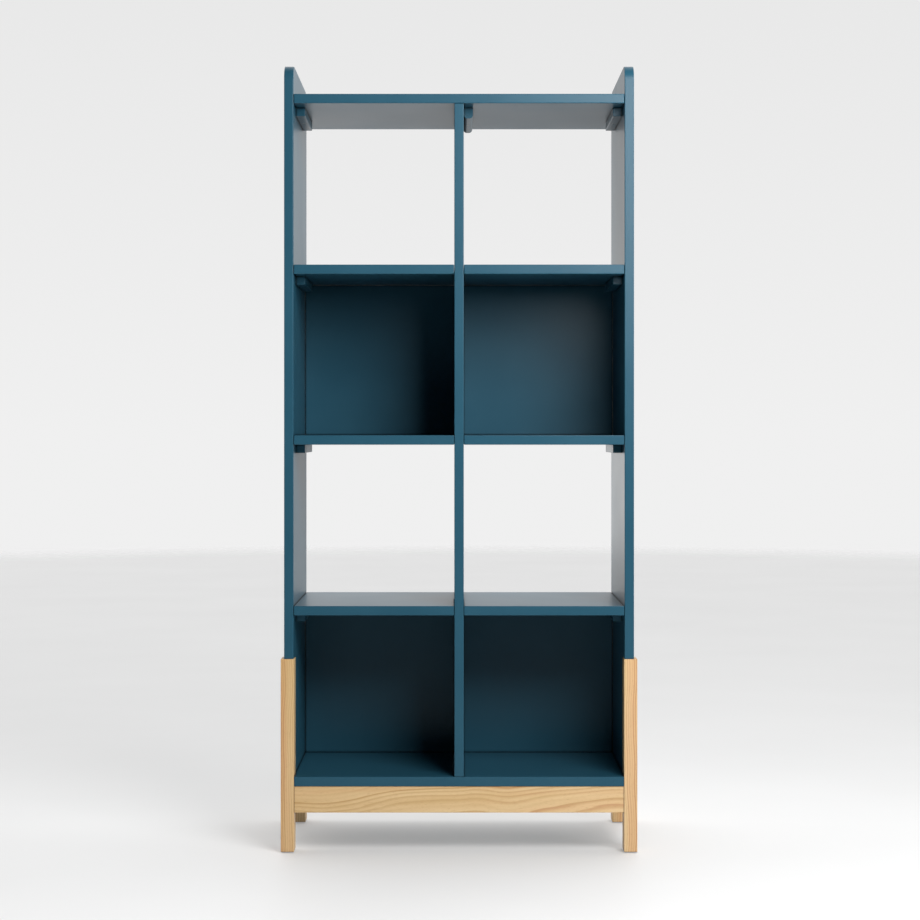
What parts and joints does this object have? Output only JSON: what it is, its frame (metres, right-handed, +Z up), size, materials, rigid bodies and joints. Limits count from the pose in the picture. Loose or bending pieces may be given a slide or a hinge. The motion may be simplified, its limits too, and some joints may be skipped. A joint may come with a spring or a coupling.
{
  "type": "cube storage unit",
  "caption": "Tall open cube storage unit: lacquered case with a central divider, half-lapped shelves, inset back panels in alternate rows and rounded cheeks, on square wood legs with aprons.",
  "frame": {"origin": "on the floor, under the centre of the unit's bounding box", "axes": "+Z up, +Y towards the rear (the wall side), +X to the right seen from the front; the open fronts face -Y"},
  "size_m": [0.754, 0.38, 1.667],
  "materials": {
    "lacquered_board": "dark blue satin lacquer on fibreboard, eased edges",
    "oak": "natural solid oak, clear matt oil-look lacquer",
    "dowel_beech": "plain turned beech",
    "bracket_steel": "zinc-plated pressed steel",
    "screw_steel": "zinc-plated steel",
    "cam_zinc": "die-cast zinc, dull grey",
    "glide_nylon": "moulded off-white nylon"
  },
  "bodies": {
    "root": {"left_side_panel": "lacquered_board", "right_side_panel": "lacquered_board", "top_panel": "lacquered_board", "bottom_panel": "lacquered_board", "upper_shelf": "lacquered_board", "middle_shelf": "lacquered_board", "lower_shelf": "lacquered_board", "centre_divider": "lacquered_board", "upper_left_back": "lacquered_board", "upper_right_back": "lacquered_board", "lower_left_back": "lacquered_board", "lower_right_back": "lacquered_board", "top_left_batten": "lacquered_board", "top_right_batten": "lacquered_board", "top_centre_batten": "lacquered_board", "upper_left_batten": "lacquered_board", "upper_right_batten": "lacquered_board", "middle_left_batten": "lacquered_board", "middle_right_batten": "lacquered_board", "lower_left_batten": "lacquered_board", "lower_right_batten": "lacquered_board", "front_left_leg": "oak", "front_right_leg": "oak", "rear_left_leg": "oak", "rear_right_leg": "oak", "front_apron": "oak", "rear_apron": "oak", "left_side_rail": "oak", "right_side_rail": "oak", "front_left_bracket": "bracket_steel", "front_right_bracket": "bracket_steel", "rear_left_bracket": "bracket_steel", "rear_right_bracket": "bracket_steel", "wall_bracket": "bracket_steel", "front_left_glide": "glide_nylon", "front_right_glide": "glide_nylon", "rear_left_glide": "glide_nylon", "rear_right_glide": "glide_nylon", "wall_bracket_screws": "screw_steel", "batten_side_screws": "screw_steel", "batten_shelf_screws": "screw_steel", "bracket_screws": "screw_steel", "divider_screws": "screw_steel", "bottom_cam_bolts": "screw_steel", "bottom_cams": "cam_zinc", "bottom_dowels": "dowel_beech", "divider_dowels": "dowel_beech", "back_dowels": "dowel_beech", "leg_dowels": "dowel_beech", "apron_dowels": "dowel_beech", "rail_dowels": "dowel_beech"}
  },
  "joints": []
}
